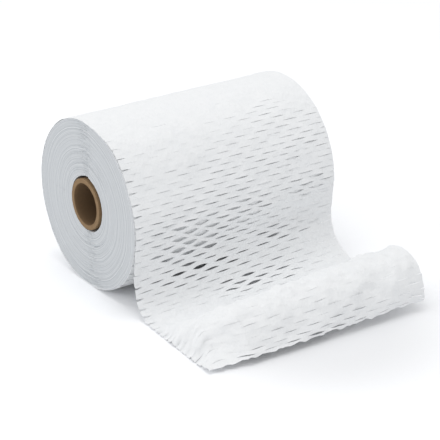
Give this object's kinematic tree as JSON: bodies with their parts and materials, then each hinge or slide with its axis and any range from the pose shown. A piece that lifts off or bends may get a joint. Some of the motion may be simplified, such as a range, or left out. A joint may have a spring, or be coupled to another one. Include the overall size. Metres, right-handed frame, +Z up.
{
  "type": "paper roll",
  "caption": "White slit packing paper wound on an open brown cardboard core, lying on its side, with its free end hanging down the front and curled over on the floor.",
  "frame": {"origin": "middle of the core's bore, half way along the roll", "axes": "+X along the roll's axis; the free end of the paper runs out towards -Y; +Z up from the floor it lies on"},
  "size_m": [0.2058, 0.2674, 0.1433],
  "materials": {
    "slit_paper": "matt uncoated white paper",
    "core_board": "matt brown spiral-wound board"
  },
  "bodies": {
    "root": {"paper_roll": "slit_paper", "core_tube": "core_board"}
  },
  "joints": []
}
